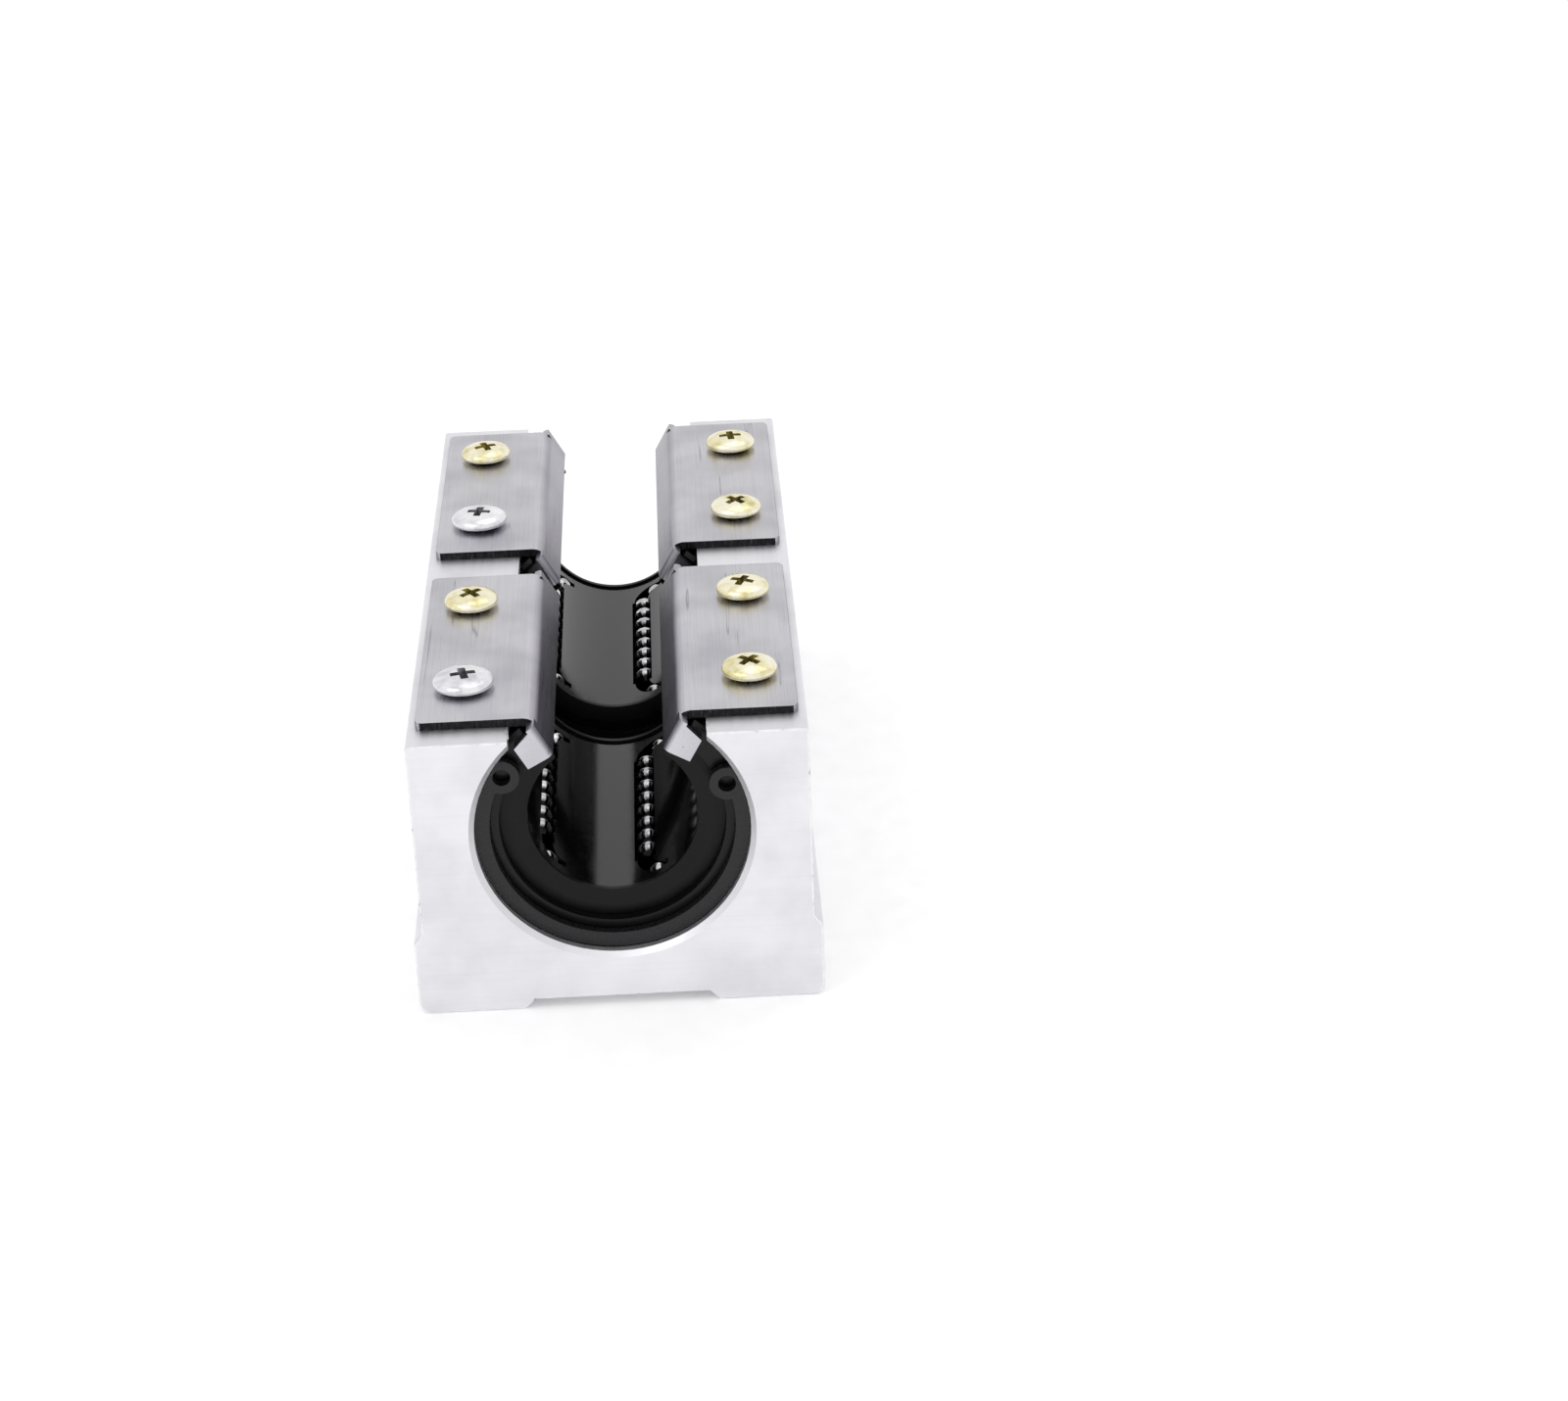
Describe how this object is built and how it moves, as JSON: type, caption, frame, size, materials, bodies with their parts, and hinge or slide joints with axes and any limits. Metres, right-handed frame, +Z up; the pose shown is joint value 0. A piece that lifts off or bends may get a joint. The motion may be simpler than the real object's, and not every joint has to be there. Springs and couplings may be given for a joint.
{
  "type": "linear ball bushing block",
  "caption": "Long open linear-bearing pillow block: slotted aluminium housing with open ball bushings end to end, screwed spring-steel retaining plates and retaining rings.",
  "frame": {"origin": "middle of the mounting face, which is the bottom of the block", "axes": "+X across the block, +Y along the shaft from the front end to the rear end, +Z up from the mounting face to the slot"},
  "size_m": [0.048, 0.096, 0.0384],
  "materials": {
    "housing": "bright silver anodised extrusion",
    "sleeve": "ground and blackened bearing steel",
    "cage": "black moulded resin",
    "seal": "black nitrile rubber",
    "balls": "polished bearing balls",
    "ring": "black phosphated spring steel",
    "plate": "brushed stainless sheet",
    "yellow_screw": "pale yellow passivated zinc",
    "silver_screw": "bright zinc"
  },
  "bodies": {
    "block": {"housing": "housing", "front_sleeve": "sleeve", "front_cage": "cage", "front_outer_seal": "seal", "front_inner_seal": "seal", "front_turn_balls": "balls", "front_retaining_ring": "ring", "front_left_plate": "plate", "front_left_screw_1": "silver_screw", "front_left_screw_2": "yellow_screw", "front_right_plate": "plate", "front_right_screw_1": "yellow_screw", "front_right_screw_2": "yellow_screw", "rear_sleeve": "sleeve", "rear_cage": "cage", "rear_outer_seal": "seal", "rear_inner_seal": "seal", "rear_turn_balls": "balls", "rear_retaining_ring": "ring", "rear_left_plate": "plate", "rear_left_screw_1": "silver_screw", "rear_left_screw_2": "yellow_screw", "rear_right_plate": "plate", "rear_right_screw_1": "yellow_screw", "rear_right_screw_2": "yellow_screw"},
    "front_load_row_1": {"front_load_balls_1": "balls"},
    "front_return_row_1": {"front_return_balls_1": "balls"},
    "front_load_row_2": {"front_load_balls_2": "balls"},
    "front_return_row_2": {"front_return_balls_2": "balls"},
    "front_load_row_3": {"front_load_balls_3": "balls"},
    "front_return_row_3": {"front_return_balls_3": "balls"},
    "front_load_row_4": {"front_load_balls_4": "balls"},
    "front_return_row_4": {"front_return_balls_4": "balls"},
    "rear_load_row_1": {"rear_load_balls_1": "balls"},
    "rear_return_row_1": {"rear_return_balls_1": "balls"},
    "rear_load_row_2": {"rear_load_balls_2": "balls"},
    "rear_return_row_2": {"rear_return_balls_2": "balls"},
    "rear_load_row_3": {"rear_load_balls_3": "balls"},
    "rear_return_row_3": {"rear_return_balls_3": "balls"},
    "rear_load_row_4": {"rear_load_balls_4": "balls"},
    "rear_return_row_4": {"rear_return_balls_4": "balls"}
  },
  "joints": [
    {"name": "front_load_row_1_roll", "type": "slide", "parent": "block", "child": "front_load_row_1", "axis": [0, 1, 0], "range_m": [-0.0032, 0]},
    {"name": "front_return_row_1_roll", "type": "slide", "parent": "block", "child": "front_return_row_1", "axis": [0, 1, 0], "range_m": [0, 0.0032]},
    {"name": "front_load_row_2_roll", "type": "slide", "parent": "block", "child": "front_load_row_2", "axis": [0, 1, 0], "range_m": [-0.0032, 0]},
    {"name": "front_return_row_2_roll", "type": "slide", "parent": "block", "child": "front_return_row_2", "axis": [0, 1, 0], "range_m": [0, 0.0032]},
    {"name": "front_load_row_3_roll", "type": "slide", "parent": "block", "child": "front_load_row_3", "axis": [0, 1, 0], "range_m": [-0.0032, 0]},
    {"name": "front_return_row_3_roll", "type": "slide", "parent": "block", "child": "front_return_row_3", "axis": [0, 1, 0], "range_m": [0, 0.0032]},
    {"name": "front_load_row_4_roll", "type": "slide", "parent": "block", "child": "front_load_row_4", "axis": [0, 1, 0], "range_m": [-0.0032, 0]},
    {"name": "front_return_row_4_roll", "type": "slide", "parent": "block", "child": "front_return_row_4", "axis": [0, 1, 0], "range_m": [0, 0.0032]},
    {"name": "rear_load_row_1_roll", "type": "slide", "parent": "block", "child": "rear_load_row_1", "axis": [0, 1, 0], "range_m": [-0.0032, 0]},
    {"name": "rear_return_row_1_roll", "type": "slide", "parent": "block", "child": "rear_return_row_1", "axis": [0, 1, 0], "range_m": [0, 0.0032]},
    {"name": "rear_load_row_2_roll", "type": "slide", "parent": "block", "child": "rear_load_row_2", "axis": [0, 1, 0], "range_m": [-0.0032, 0]},
    {"name": "rear_return_row_2_roll", "type": "slide", "parent": "block", "child": "rear_return_row_2", "axis": [0, 1, 0], "range_m": [0, 0.0032]},
    {"name": "rear_load_row_3_roll", "type": "slide", "parent": "block", "child": "rear_load_row_3", "axis": [0, 1, 0], "range_m": [-0.0032, 0]},
    {"name": "rear_return_row_3_roll", "type": "slide", "parent": "block", "child": "rear_return_row_3", "axis": [0, 1, 0], "range_m": [0, 0.0032]},
    {"name": "rear_load_row_4_roll", "type": "slide", "parent": "block", "child": "rear_load_row_4", "axis": [0, 1, 0], "range_m": [-0.0032, 0]},
    {"name": "rear_return_row_4_roll", "type": "slide", "parent": "block", "child": "rear_return_row_4", "axis": [0, 1, 0], "range_m": [0, 0.0032]}
  ],
  "couplings": [
    {"joint": "front_return_row_1_roll", "follows": "front_load_row_1_roll", "ratio": -1},
    {"joint": "front_return_row_2_roll", "follows": "front_load_row_2_roll", "ratio": -1},
    {"joint": "front_return_row_3_roll", "follows": "front_load_row_3_roll", "ratio": -1},
    {"joint": "front_return_row_4_roll", "follows": "front_load_row_4_roll", "ratio": -1},
    {"joint": "rear_return_row_1_roll", "follows": "rear_load_row_1_roll", "ratio": -1},
    {"joint": "rear_return_row_2_roll", "follows": "rear_load_row_2_roll", "ratio": -1},
    {"joint": "rear_return_row_3_roll", "follows": "rear_load_row_3_roll", "ratio": -1},
    {"joint": "rear_return_row_4_roll", "follows": "rear_load_row_4_roll", "ratio": -1}
  ]
}
